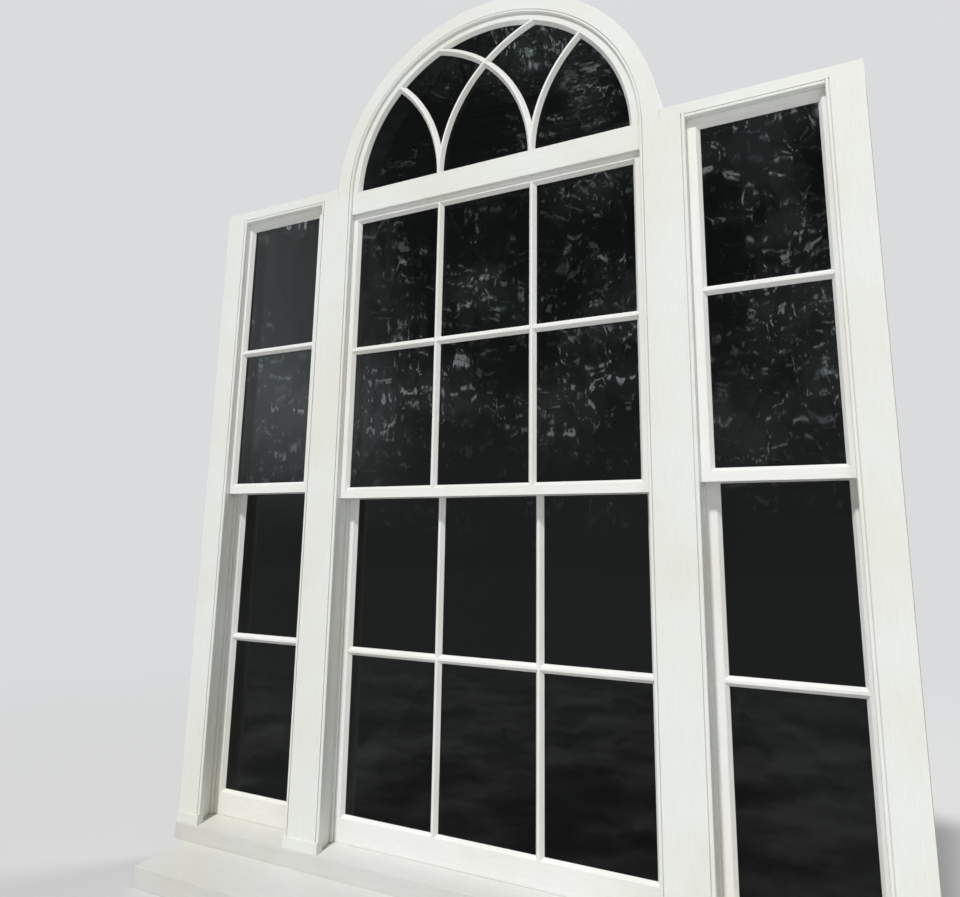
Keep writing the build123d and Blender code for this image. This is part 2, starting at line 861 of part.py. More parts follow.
def keep(x, z):
    """The hooked plate on the upper sash's meeting rail that the lever swings under."""
    y = y_up_sash + keep_y
    y0 = y - keep_d / 2
    y1 = y + keep_d / 2
    x_wall = x - lever_w / 2 - keep_slack
    z_lip = z + base_t + post_h
    base = block(x - base_w / 2, x + base_w / 2, y - base_d / 2, y + base_d / 2, z, z + base_t)
    wall = block(x_wall - keep_wall, x_wall, y0, y1, z + base_t, z_lip + keep_wall)
    lip = block(x_wall, x + lever_w / 2, y0, y1, z_lip, z_lip + keep_wall)
    return base + wall + lip


def lift(x, z):
    """A hook lift on the bottom rail: a plate and a curled finger hook."""
    y = y_low_sash + sash
    back = block(x - lift_w / 2, x + lift_w / 2, y, y + base_t, z - lift_h / 2, z + lift_h / 2)
    z_hook = z - lift_h / 2 + hook_r
    place = Pos(x, y, z_hook) * Rot(0, 90, 0)
    ring = place * Cylinder(hook_r, hook_w) - place * Cylinder(hook_r - base_t, hook_w)
    quarter = block(x - hook_w / 2, x + hook_w / 2, y, y + hook_r, z_hook - hook_r, z_hook)
    return back + (ring & quarter)


# The six sashes and the file of each node

lights = (
    (-x_face_c, x_face_c, z_head_c),
    (x_face_s, x_face_j, z_head_s),
    (-x_face_j, -x_face_s, z_head_s),
)


def all_sashes():
    """The six sashes, each with the two pulley stiles that it runs between."""
    found = []
    plan = (
        ("centre", z_meet_c, z_top_c, centre_stile, centre_columns, (stiles[1], stiles[0])),
        ("right", z_meet_s, z_top_s, side_stile, 1, (stiles[2], stiles[3])),
        ("left", z_meet_s, z_top_s, side_stile, 1, (stiles[4], stiles[5])),
    )
    for name, z_meet, z_top, stile, columns, pair in plan:
        x0 = pair[0][0] + play
        x1 = pair[1][0] - play
        z_over = z_meet + meeting_rail
        found.append((Sash(name + "_upper", x0, x1, z_meet, z_top, True, stile, columns), pair))
        found.append((Sash(name + "_lower", x0, x1, z_sash, z_over, False, stile, columns), pair))
    return found


def write_sashes():
    """Write the moving pieces, and return the cases and cords that stay with the frame."""
    cases, cords = [], []
    for a_sash, pair in all_sashes():
        name = a_sash.name
        centre = a_sash.columns > 1
        framing, bars, panes, putty = a_sash.parts()
        if centre:
            write(name + "_sash", framing)
            write(name + "_bars", bars + putty)
        else:
            write(name + "_sash", framing + bars + putty)
        write(name + "_panes", panes)
        length = centre_iron_length if centre else side_iron_length
        wheels, more_cases, more_cords, weights = hung(a_sash, pair, length)
        write(name + "_wheel_left", wheels[:1])
        write(name + "_wheel_right", wheels[1:])
        write(name + "_weights", weights)
        cases += more_cases
        cords += more_cords
        x_mid = (a_sash.x0 + a_sash.x1) / 2
        if a_sash.upper:
            write(name + "_keep", [keep(x_mid, a_sash.z0 + meeting_rail)])
        else:
            write(name + "_lever", [lever(x_mid, a_sash.z1 + base_t + lever_lift)])
            z_lift = a_sash.z0 + bottom_rail / 2
            spots = [x_mid - lift_spread, x_mid + lift_spread] if centre else [x_mid]
            lifts = [lift(x, z_lift) for x in spots]
            write(name + "_fittings", [fastener_base(x_mid, a_sash.z1)] + lifts)
    return cases, cords


def write_frame(cases, cords):
    """Write the pieces that stay put."""
    transom_bar = transom()
    arch = arch_frame(transom_bar)
    write("sub_sill", [sub_sill()])
    write("sill", [sill()])
    write("plinth_blocks", plinth_blocks())
    write("outer_linings", outer_linings())
    write("arch_casing", [arch_casing_ring()])
    write("inner_linings", inner_linings())
    write("back_linings", back_linings())
    write("pulley_stiles", [pulley_stile_board(*stile) for stile in stiles])
    write("pocket_pieces", [pocket(face, way) for face, way, z_head in stiles])
    write("parting_beads", parting_beads())
    write("staff_beads", staff_beads())
    write("parting_slips", parting_slips())
    write("side_heads", side_heads())
    write("transom", [transom_bar])
    write("arch_frame", [arch])
    write("fanlight_bars", [tracery_bars(transom_bar, arch)])
    write("fanlight_panes", [fanlight_panes()])
    write("pulley_cases", cases)
    write("sash_cords", cords)


write_frame(*write_sashes())
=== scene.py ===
import json
import math

import bpy
import bmesh
from mathutils import Matrix, Vector


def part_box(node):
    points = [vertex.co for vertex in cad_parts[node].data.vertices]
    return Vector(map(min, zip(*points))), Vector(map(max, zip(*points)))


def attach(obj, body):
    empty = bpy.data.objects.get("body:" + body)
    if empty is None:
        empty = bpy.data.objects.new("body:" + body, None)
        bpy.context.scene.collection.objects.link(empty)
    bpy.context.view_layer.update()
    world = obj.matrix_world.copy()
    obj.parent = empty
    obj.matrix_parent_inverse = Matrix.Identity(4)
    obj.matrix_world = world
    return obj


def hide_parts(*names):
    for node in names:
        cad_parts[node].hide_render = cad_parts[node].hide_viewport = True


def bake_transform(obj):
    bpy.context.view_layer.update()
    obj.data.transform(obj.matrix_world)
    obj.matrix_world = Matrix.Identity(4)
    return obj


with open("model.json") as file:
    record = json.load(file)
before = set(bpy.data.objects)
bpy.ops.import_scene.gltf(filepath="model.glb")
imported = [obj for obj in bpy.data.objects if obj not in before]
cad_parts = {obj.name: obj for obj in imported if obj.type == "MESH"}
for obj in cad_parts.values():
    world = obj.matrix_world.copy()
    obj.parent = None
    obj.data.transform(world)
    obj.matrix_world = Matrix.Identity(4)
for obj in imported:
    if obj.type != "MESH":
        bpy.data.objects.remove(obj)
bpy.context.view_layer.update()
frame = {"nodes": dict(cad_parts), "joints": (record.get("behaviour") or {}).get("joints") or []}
nodes = frame["nodes"]
joints = {joint["name"]: joint for joint in frame["joints"]}

# A camera fitted to the photograph, which is 960 by 897 pixels
PHOTO_WIDTH = 960
PHOTO_HEIGHT = 897
FOCAL_PX = 788.69
PRINCIPAL_Y_PX = 385.06
SENSOR_MM = 36
CAMERA_PLACE = Vector((1.1414, -2.0731, 1.0444))
CAMERA_YAW = 0.5003
CAMERA_PITCH = 0.2043
CAMERA_ROLL = 0.0159

# Studio
BACKGROUND = (0.70, 0.71, 0.72)
AMBIENT = 0.30
MIDDLE = (0, 0, 1.4)
KEY = {"azimuth": -4, "elevation": 53, "spread": 5, "strength": 2.7}
FILL = {"place": (6.5, -4.5, 2.6), "size": 3.5, "power": 80, "mirrored": False}
BACK = {"place": (7.0, 11.0, 12.6), "size": 4.8, "power": 1000, "mirrored": True}
FLOOR = (0.62, 0.62, 0.62)
FLOOR_RADIUS = 40
FLOOR_FADE = (1.6, 6.5)

# What glossy surfaces reflect: the sky, pale past an X of its own, and a share of the floor
REFLECTED = (0.66, 0.68, 0.71)
PALE_LEFT = (-0.52, -0.68)
FLOOR_REFLECTED = 0.35
FLOOR_SHADED = 0.15
FLOOR_SUNLIT = 0.65

# Colours, linear
PAINT = (0.81, 0.825, 0.79)
SASH_PAINT = (0.86, 0.865, 0.84)
# The sill and sub-sill's white, darker than the rest as painted shade for their level tops, which
# take the strongest light
SHADED_LEDGE_PAINT = (0.67, 0.675, 0.65)
AGED = (0.97, 0.955, 0.915)
PRIMER = (0.42, 0.40, 0.35)
# Darkens the brush marks, and is the colour of the painted shade in corners
GRIME_AND_SHADE = (0.36, 0.36, 0.29)
SOFTWOOD = (0.52, 0.36, 0.20)
SOFTWOOD_DARK = (0.34, 0.21, 0.10)
BRASS = (0.62, 0.44, 0.17)
TARNISH = (0.20, 0.14, 0.07)
IRON = (0.09, 0.085, 0.08)
IRON_WORN = (0.16, 0.15, 0.14)
RUST = (0.22, 0.10, 0.05)
COTTON = (0.66, 0.61, 0.50)
GLASS = (0.008, 0.010, 0.009)
PALEST_PANE = 3.2

# Noise: scale per metre, or over the round of the sky, then detail and roughness
BRUSH_MARKS = (420, 3, 0.6)
PAINT_FILM = (60, 2, 0.5)
PAINT_SWELL = (9, 2, 0.5)
PAINT_PATCHES = (2.6, 3, 0.55)
PAINT_SPECKS = (240, 3, 0.6)
WOOD_RINGS = (95, 4, 0.65)
WOOD_FIBRES = (700, 2, 0.5)
GLASS_DUST = (5, 3, 0.6)
GLASS_RIPPLES = (11, 1.5, 0.4)
METAL_PITS = (900, 3, 0.6)
COTTON_FUZZ = (700, 2, 0.6)
SKY_PATCHES = (7.5, 4, 0.62)
SKY_SPECKS = (95, 3, 0.6)
FLOOR_DAPPLES = (1.9, 5, 0.62)

# How far noise is drawn out along the timber and up the panes, and moved on from pane to pane
GRAIN_STRETCH = 0.03
ARC_STRETCH = 0.016
RIPPLE_STRETCH = 0.45
PANE_SHIFT = 37

# Surfaces, lengths in metres
PAINT_ROUGHNESS = (0.37, 0.52)
PAINT_SPECULAR = 0.3
# How far ambient occlusion reaches for the painted shade in corners
SHADE_REACH = 0.012
CHIP_R = 0.0011
PAINT_ARRIS_R = 0.0009
METAL_RUB_R = 0.0012
METAL_ARRIS_R = 0.0008
BRAID_STRANDS = 8
BRAID_PITCH = 0.0042

# Heights that hold the whole window
WHOLE_HEIGHT = (0, 9)

# Sizes that repeat the CAD
BOTTOM_RAIL = 0.079
MEETING_RAIL = 0.036
TOP_RAIL = 0.044
BAR = 0.026
CORD_R = 0.00325
PITCH_R = 0.022
CORD_TAIL = 0.270
KNOT_DROP = 0.0295
WHEEL_SET = 0.018
PLATE_SCREWS = 0.045
FITTING_PLATE = 0.003
FITTING_SCREWS = 0.019
LIFT_SPREAD = 0.300
LIFT_SCREWS = (0.0133, 0.011)

# Cords and screws
CORD_SIDES = 20
BEND_STEPS = 24
PULLEY_SCREW_R = 0.0032
PLATE_SCREW_R = 0.0029
LIFT_SCREW_R = 0.0024
SCREW_TURN = 1.1

# Screw heads, as shares of their radius
SLOT_SHARE = 0.14
HEAD_RISE = 0.3
DISC_REACH = 0.97
DISC_RISE = 0.09
CROWN_REACH = 0.45
CROWN_TAPER = 0.74
DISC_STEPS = 24
HALF_STEPS = 12

SASHES = ("centre_upper", "centre_lower", "right_upper", "right_lower", "left_upper", "left_lower")
WHEELS = [(sash, side, inward) for sash in SASHES for side, inward in (("left", 1), ("right", -1))]
ROOT = "window_frame"


# Materials

def shader(name):
    """A new material, its node tree and its Principled shader."""
    material = bpy.data.materials.new(name)
    material.use_nodes = True
    tree = material.node_tree
    return material, tree, tree.nodes["Principled BSDF"]


def add(tree, kind, inputs=None, **settings):
    """A node with its settings, whose inputs are values or other nodes' outputs.

    A Mix node's vectors are inputs 4 and 5 and output 1, its colours 6 and 7 and output 2.
    """
    made = tree.nodes.new(kind)
    for key, value in settings.items():
        setattr(made, key, value)
    for key, value in (inputs or {}).items():
        if isinstance(value, bpy.types.NodeSocket):
            tree.links.new(value, made.inputs[key])
        else:
            made.inputs[key].default_value = value
    return made


def math_node(tree, operation, *values):
    return add(tree, "ShaderNodeMath", dict(enumerate(values)), operation=operation).outputs[0]


def times(tree, a, b):
    return math_node(tree, "MULTIPLY", a, b)


def plus(tree, a, b):
    return math_node(tree, "ADD", a, b)


def mix_colour(tree, factor, a, b, blend="MIX"):
    """Two colours mixed; a colour is a socket or three numbers."""
    a, b = (c if isinstance(c, bpy.types.NodeSocket) else (*c, 1) for c in (a, b))
    inputs = {0: factor, 6: a, 7: b}
    return add(tree, "ShaderNodeMix", inputs, data_type="RGBA", blend_type=blend).outputs[2]


def shaded(colour, share):
    return tuple(c * share for c in colour)


def ramp(tree, value, low, high, out_low=0.0, out_high=1.0):
    """A smooth step of a value, from out_low to out_high."""
    inputs = {0: value, 1: low, 2: high, 3: out_low, 4: out_high}
    return add(tree, "ShaderNodeMapRange", inputs, interpolation_type="SMOOTHSTEP").outputs[0]


def noise(tree, vector, scale, detail, roughness, shift=None):
    """Soft noise; a shift moves it on in a fourth dimension."""
    inputs = {"Vector": vector, "Scale": scale, "Detail": detail, "Roughness": roughness}
    if shift is None:
        return add(tree, "ShaderNodeTexNoise", inputs).outputs[0]
    inputs["W"] = shift
    return add(tree, "ShaderNodeTexNoise", inputs, noise_dimensions="4D").outputs[0]


def places(tree):
    """Coordinates fixed to the piece, in metres."""
    return add(tree, "ShaderNodeTexCoord").outputs["Object"]


def parts_of(tree, vector):
    """The X, Y and Z of a vector."""
    split = add(tree, "ShaderNodeSeparateXYZ", {0: vector})
    return split.outputs[0], split.outputs[1], split.outputs[2]


def stretched(tree, vector, factors):
    inputs = {0: vector, 1: factors}
    return add(tree, "ShaderNodeVectorMath", inputs, operation="MULTIPLY").outputs[0]


def straight_grain(tree, bands):
    """Coordinates that run with the timber: along X between the heights in bands, else along Z."""
    vector = places(tree)
    height = parts_of(tree, vector)[2]
    inside = 0.0
    for low, high in bands:
        here = math_node(tree, "COMPARE", height, (low + high) / 2, (high - low) / 2)
        inside = math_node(tree, "MAXIMUM", here, inside)
    upright = stretched(tree, vector, (1, 1, GRAIN_STRETCH))
    level = stretched(tree, vector, (GRAIN_STRETCH, 1, 1))
    inputs = {0: inside, 4: upright, 5: level}
    return add(tree, "ShaderNodeMix", inputs, data_type="VECTOR").outputs[1]


def arched_grain(tree, z_centre):
    """Coordinates that run round a centre on the springing line."""
    x, y, z = parts_of(tree, places(tree))
    up = math_node(tree, "SUBTRACT", z, z_centre)
    angle = math_node(tree, "ARCTAN2", up, x)
    far = math_node(tree, "POWER", plus(tree, times(tree, x, x), times(tree, up, up)), 0.5)
    inputs = {0: far, 1: y, 2: times(tree, angle, ARC_STRETCH)}
    return add(tree, "ShaderNodeCombineXYZ", inputs).outputs[0]


def rounded(tree, radius):
    """The surface's normal with its arrises rounded."""
    return add(tree, "ShaderNodeBevel", {"Radius": radius}, samples=4).outputs[0]


def edge_mask(tree, radius):
    """1 near the arrises of a piece, 0 on its flats."""
    true_normal = add(tree, "ShaderNodeNewGeometry").outputs["Normal"]
    inputs = {0: rounded(tree, radius), 1: true_normal}
    same = add(tree, "ShaderNodeVectorMath", inputs, operation="DOT_PRODUCT").outputs["Value"]
    return ramp(tree, same, 0.97, 0.80)


def emboss(tree, bsdf, relief, strength, distance, arris=None):
    """Give a shader its relief, over rounded arrises where a radius is given."""
    inputs = {"Strength": strength, "Distance": distance, "Height": relief}
    if arris:
        inputs["Normal"] = rounded(tree, arris)
    bump = add(tree, "ShaderNodeBump", inputs)
    tree.links.new(bump.outputs[0], bsdf.inputs["Normal"])


def paint(name, colour, grain, wear=0.62, shade_share=0.2):
    """Old oil paint on timber: brush marks along the grain, painted shade in corners, chips on
    arrises.
    """
    material, tree, bsdf = shader(name)
    vector = places(tree)
    along = grain(tree)
    brush = noise(tree, along, *BRUSH_MARKS)
    film = noise(tree, along, *PAINT_FILM)
    swell = noise(tree, vector, *PAINT_SWELL)
    patch = noise(tree, vector, *PAINT_PATCHES)
    speck = noise(tree, vector, *PAINT_SPECKS)
    # Painted shade: the colour darkens in patches towards GRIME_AND_SHADE where ambient occlusion
    # finds corners and recesses; the same mask also roughens the paint there
    corners = add(tree, "ShaderNodeAmbientOcclusion", {"Distance": SHADE_REACH}, samples=4)
    hollow = ramp(tree, corners.outputs["AO"], 0.85, 0.25)
    dirt_and_shade = times(tree, hollow, ramp(tree, patch, 0.3, 0.6, 0.4, 1.0))
    chips = times(tree, edge_mask(tree, CHIP_R), ramp(tree, speck, wear, wear + 0.05))
    chips = times(tree, chips, ramp(tree, swell, 0.57, 0.65))

    warm = tuple(c * s for c, s in zip(colour, AGED))
    tone = mix_colour(tree, ramp(tree, patch, 0.38, 0.66), colour, warm)
    tone = mix_colour(tree, ramp(tree, brush, 0.35, 0.7, 0.0, 0.08), tone, GRIME_AND_SHADE, "MULTIPLY")
    tone = mix_colour(tree, times(tree, dirt_and_shade, shade_share), tone, GRIME_AND_SHADE)
    tone = mix_colour(tree, chips, tone, PRIMER)
    tree.links.new(tone, bsdf.inputs["Base Color"])

    bsdf.inputs["Specular IOR Level"].default_value = PAINT_SPECULAR
    rough = ramp(tree, film, 0.3, 0.7, *PAINT_ROUGHNESS)
    rough = plus(tree, rough, times(tree, dirt_and_shade, 0.2))
    tree.links.new(rough, bsdf.inputs["Roughness"])

    relief = plus(tree, times(tree, brush, 0.35), times(tree, film, 0.8))
    relief = plus(tree, relief, times(tree, swell, 1.2))
    relief = math_node(tree, "SUBTRACT", relief, times(tree, chips, 0.6))
    emboss(tree, bsdf, relief, strength=0.55, distance=0.0004, arris=PAINT_ARRIS_R)
    return material


def bare_wood(name):
    """Sawn softwood, never painted, inside the boxes."""
    material, tree, bsdf = shader(name)
    along = straight_grain(tree, ())
    rings = noise(tree, along, *WOOD_RINGS)
    fine = noise(tree, along, *WOOD_FIBRES)
    tone = mix_colour(tree, ramp(tree, rings, 0.36, 0.64), SOFTWOOD, SOFTWOOD_DARK)
    tone = mix_colour(tree, ramp(tree, fine, 0.3, 0.7, 0.0, 0.35), tone, SOFTWOOD_DARK)
    tree.links.new(tone, bsdf.inputs["Base Color"])
    bsdf.inputs["Roughness"].default_value = 0.78
    emboss(tree, bsdf, fine, strength=0.5, distance=0.0005)
    return material


def old_glass(name):
    """Drawn glass with long soft ripples, different in each pane, and a little dust."""
    material, tree, bsdf = shader(name)
    vector = places(tree)
    upward = stretched(tree, vector, (1, 1, RIPPLE_STRETCH))
    pane = add(tree, "ShaderNodeNewGeometry").outputs["Random Per Island"]
    dust = noise(tree, vector, *GLASS_DUST)
    ripples = noise(tree, upward, *GLASS_RIPPLES, shift=times(tree, pane, PANE_SHIFT))
    tone = mix_colour(tree, pane, GLASS, shaded(GLASS, PALEST_PANE))
    tree.links.new(tone, bsdf.inputs["Base Color"])
    tree.links.new(ramp(tree, dust, 0.4, 0.7, 0.012, 0.035), bsdf.inputs["Roughness"])
    bsdf.inputs["Transmission Weight"].default_value = 0.97
    bsdf.inputs["IOR"].default_value = 1.48
    emboss(tree, bsdf, ripples, strength=0.35, distance=0.004)
    return material


def worn_metal(name, clean, dull, rough, patches, metallic):
    """Metal with duller patches and a slightly uneven surface."""
    material, tree, bsdf = shader(name)
    vector = places(tree)
    patch = noise(tree, vector, patches, 4, 0.6)
    pits = noise(tree, vector, *METAL_PITS)
    rubbed = times(tree, edge_mask(tree, METAL_RUB_R), 0.5)
    tone = mix_colour(tree, ramp(tree, patch, 0.38, 0.62), clean, dull)
    tone = mix_colour(tree, rubbed, tone, clean)
    tree.links.new(tone, bsdf.inputs["Base Color"])
    tree.links.new(ramp(tree, patch, 0.3, 0.7, rough, rough + 0.25), bsdf.inputs["Roughness"])
    bsdf.inputs["Metallic"].default_value = metallic
    emboss(tree, bsdf, pits, strength=0.4, distance=0.0003, arris=METAL_ARRIS_R)
    return material


def braided(name, along_height):
    """Waxed cotton braid, its pitch read along Z on straight runs and along the UV on bends."""
    material, tree, bsdf = shader(name)
    coords = add(tree, "ShaderNodeTexCoord")
    u, v = parts_of(tree, coords.outputs["UV"])[:2]
    if along_height:
        v = parts_of(tree, coords.outputs["Object"])[2]
    turn = times(tree, u, BRAID_STRANDS * math.tau)
    rise = times(tree, v, math.tau / BRAID_PITCH)
    one = math_node(tree, "SINE", plus(tree, turn, rise))
    other = math_node(tree, "SINE", math_node(tree, "SUBTRACT", turn, rise))
    weave = math_node(tree, "MAXIMUM", one, other)
    fuzz = noise(tree, coords.outputs["Object"], *COTTON_FUZZ)
    relief = plus(tree, weave, times(tree, fuzz, 0.4))
    # Painted shade: the cotton is darker in the troughs between the braid's strands; the fuzz
    # darkens it further at random
    dark = shaded(COTTON, 0.62)
    tone = mix_colour(tree, ramp(tree, weave, -0.2, 0.9), dark, COTTON)
    tone = mix_colour(tree, ramp(tree, fuzz, 0.4, 0.8, 0.0, 0.3), tone, dark)
    tree.links.new(tone, bsdf.inputs["Base Color"])
    bsdf.inputs["Roughness"].default_value = 0.86
    emboss(tree, bsdf, relief, strength=0.8, distance=0.0005)
    return material


def dress(material, *names):
    """Give CAD nodes a material."""
    for name in names:
        slots = nodes[name].data.materials
        slots.clear()
        slots.append(material)


def level_bands(sash):
    """Heights between which a sash's timber lies level: its two rails and its bars."""
    upper = sash.endswith("upper")
    low = MEETING_RAIL if upper else BOTTOM_RAIL
    high = TOP_RAIL if upper else MEETING_RAIL
    bottom, top = (corner.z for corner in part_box(sash + "_sash"))
    middle = (bottom + low + top - high) / 2
    return ((bottom, bottom + low), (middle - BAR / 2, middle + BAR / 2), (top - high, top))


def level_grain(tree):
    """Coordinates of a piece that lies level in its whole height."""
    return straight_grain(tree, (WHOLE_HEIGHT,))


def dress_timber():
    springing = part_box("arch_casing")[0].z
    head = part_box("side_heads")[0].z
    upright = paint("upright_paint", PAINT, lambda tree: straight_grain(tree, ()))
    linings = paint("linings_paint", PAINT, lambda tree: straight_grain(tree, ((head, head + 1),)))
    level = paint("level_paint", PAINT, level_grain)
    # The sill and sub-sill: a darker copy of the white as painted shade for their level tops, with
    # more painted shade in corners and more chips
    ledge = paint("ledge_paint", SHADED_LEDGE_PAINT, level_grain, wear=0.56, shade_share=0.5)
    arched = paint("arch_paint", PAINT, lambda tree: arched_grain(tree, springing))
    tracery = paint("tracery_paint", SASH_PAINT, places)
    dress(upright, "pulley_stiles", "pocket_pieces", "parting_beads", "staff_beads")
    dress(linings, "outer_linings", "inner_linings")
    dress(level, "transom", "side_heads", "plinth_blocks")
    dress(ledge, "sub_sill", "sill")
    dress(arched, "arch_casing", "arch_frame")
    dress(tracery, "fanlight_bars")
    dress(bare_wood("softwood"), "back_linings", "parting_slips")
    for sash in SASHES:
        bands = level_bands(sash)
        coat = paint(sash + "_paint", SASH_PAINT, lambda tree: straight_grain(tree, bands))
        dress(coat, sash + "_sash")
        if sash + "_bars" in nodes:
            dress(coat, sash + "_bars")


def dress_rest():
    """Glass and metals; the brass and the pulleys' iron are returned for the screws."""
    glass = old_glass("window_glass")
    brass = worn_metal("brass", BRASS, TARNISH, rough=0.28, patches=60, metallic=1.0)
    wheel = worn_metal("wheel_brass", TARNISH, BRASS, rough=0.35, patches=90, metallic=1.0)
    iron = worn_metal("pulley_iron", IRON, IRON_WORN, rough=0.45, patches=120, metallic=0.7)
    cast = worn_metal("weight_iron", IRON, RUST, rough=0.62, patches=28, metallic=0.5)
    dress(glass, "fanlight_panes")
    dress(iron, "pulley_cases")
    for sash in SASHES:
        dress(glass, sash + "_panes")
        dress(cast, sash + "_weights")
        dress(wheel, sash + "_wheel_left", sash + "_wheel_right")
        if sash.endswith("upper"):
            dress(brass, sash + "_keep")
        else:
            dress(brass, sash + "_lever", sash + "_fittings")
    return brass, iron


# New objects

def new_object(name, data):
    made = bpy.data.objects.new(name, data)
    bpy.context.scene.collection.objects.link(made)
    return made


def object_of(build, name, material):
    """The object of a finished bmesh, in one material."""
    bmesh.ops.recalc_face_normals(build, faces=build.faces)
    mesh = bpy.data.meshes.new(name)
    build.to_mesh(mesh)
    build.free()
    mesh.materials.append(material)
    return new_object(name, mesh)


# Cords: a straight run on each side of every wheel, and a bend over it

def ring_at(centre, ahead):
    """Points round a cord's middle line, square to the way ahead."""
    side = Vector((0, 1, 0))
    across = side.cross(ahead)
    turns = [math.tau * k / CORD_SIDES for k in range(CORD_SIDES)]
    return [centre + CORD_R * (math.cos(t) * side + math.sin(t) * across) for t in turns]


def skin(build, layer, rings, run):
    """Smooth faces between rings, with UVs round the cord and along it."""
    for i in range(len(rings) - 1):
        low, high = rings[i], rings[i + 1]
        for k in range(CORD_SIDES):
            after = (k + 1) % CORD_SIDES
            face = build.faces.new((low[k], high[k], high[after], low[after]))
            face.smooth = True
            corners = ((k, i), (k, i + 1), (k + 1, i + 1), (k + 1, i))
            for loop, (u, v) in zip(face.loops, corners):
                loop[layer].uv = (u / CORD_SIDES, run[v])


def tube(name, route, material):
    """A cord along a route in an XZ plane."""
    build = bmesh.new()
    layer = build.loops.layers.uv.new("UVMap")
    rings = []
    run = [0.0]
    for i, point in enumerate(route):
        before = route[max(i - 1, 0)]
        after = route[min(i + 1, len(route) - 1)]
        ring = ring_at(point, (after - before).normalized())
        rings.append([build.verts.new(place) for place in ring])
        if i:
            run.append(run[-1] + (point - before).length)
    skin(build, layer, rings, run)
    build.faces.new(rings[0])
    build.faces.new(rings[-1][::-1])
    made = object_of(build, name, material)
    return made


def wheel_centre(sash, side):
    return joints[sash + "_wheel_" + side + "_turn"]["pos_m"]


def hang_cords():
    """Straight runs from each wheel towards its sash and down to its weight, and the bends that
    stay on the wheels.
    """
    straight = braided("cord_straight", True)
    bent = braided("cord_bent", False)
    turns = [math.pi * i / BEND_STEPS for i in range(BEND_STEPS + 1)]
    stand_in = None
    for sash, side, inward in WHEELS:
        x, y, z = wheel_centre(sash, side)
        reach = inward * PITCH_R
        label = sash + "_cord_" + side
        near = Vector((x + reach, y, z))
        far = Vector((x - reach, y, z))
        held = Vector((near.x, y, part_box(sash + "_sash")[1].z - CORD_TAIL))
        knot = Vector((far.x, y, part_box(sash + "_weights")[1].z - KNOT_DROP))
        over = [Vector((x + reach * math.cos(t), y, z + PITCH_R * math.sin(t))) for t in turns]
        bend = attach(tube(label + "_bend", over, bent), ROOT)
        run = tube(label + "_run", [near, held], straight)
        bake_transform(run)
        drop = tube(label + "_drop", [far, knot], straight)
        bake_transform(drop)
        stand_in = stand_in or bend
    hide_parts("sash_cords")


# Slotted screws of the pulleys, fasteners and lifts

def arc(radius, turns):
    return [radius * Vector((math.cos(t), math.sin(t))) for t in turns]


def pad(build, outline, low, high, centre, taper):
    """A flat-topped pad on an outline, its top drawn in towards a centre."""
    foot = [build.verts.new((*point, low)) for point in outline]
    top = [build.verts.new((*(centre + taper * (point - centre)), high)) for point in outline]
    for i in range(len(outline)):
        j = (i + 1) % len(outline)
        build.faces.new((foot[i], foot[j], top[j], top[i]))
    build.faces.new(top)
    build.faces.new(foot[::-1])
    return foot + top


def screw_head(build, place, facing, radius, turn):
    """One slotted head: two raised halves on a thin disc."""
    first = math.asin(SLOT_SHARE)
    sweep = math.pi - 2 * first
    upper = arc(radius, [first + sweep * i / HALF_STEPS for i in range(HALF_STEPS + 1)])
    lower = [-point for point in upper]
    disc = arc(DISC_REACH * radius, [math.tau * i / DISC_STEPS for i in range(DISC_STEPS)])
    high = HEAD_RISE * radius
    crown = CROWN_REACH * radius * Vector((0, 1))
    made = pad(build, disc, -high, DISC_RISE * radius, Vector((0, 0)), 1.0)
    made += pad(build, upper, -high, high, crown, CROWN_TAPER)
    made += pad(build, lower, -high, high, -crown, CROWN_TAPER)
    placed = Vector(facing).to_track_quat("Z", "Y").to_matrix() @ Matrix.Rotation(turn, 3, "Z")
    for vert in made:
        vert.co = place + placed @ vert.co


def screws(name, spots, radius, material, body):
    """Screws in one mesh; each spot is a place and the way that its head faces."""
    build = bmesh.new()
    for i, (place, facing) in enumerate(spots):
        screw_head(build, Vector(place), facing, radius, SCREW_TURN * i)
    made = object_of(build, name, material)
    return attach(made, body)


def pulley_screws(iron):
    """Two screws in the face plate of each pulley, below its wheel and above."""
    spots = []
    for sash, side, inward in WHEELS:
        x, y, z = wheel_centre(sash, side)
        face = x + inward * WHEEL_SET
        spots += [((face, y, z + up), (inward, 0, 0)) for up in (-PLATE_SCREWS, PLATE_SCREWS)]
    screws("pulley_screws", spots, PULLEY_SCREW_R, iron, ROOT)


def plate_screws(sash, brass):
    """Two screws in the plate of a sash's keep or fastener."""
    low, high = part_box(sash + "_sash")
    middle = (low.x + high.x) / 2
    if sash.endswith("upper"):
        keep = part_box(sash + "_keep")
        y = (keep[0].y + keep[1].y) / 2
        z = keep[0].z + FITTING_PLATE
    else:
        y = joints[sash + "_lever_turn"]["pos_m"][1]
        z = high.z + FITTING_PLATE
    spots = [((middle + dx, y, z), (0, 0, 1)) for dx in (-FITTING_SCREWS, FITTING_SCREWS)]
    screws(sash + "_plate_screws", spots, PLATE_SCREW_R, brass, sash + "_sash")


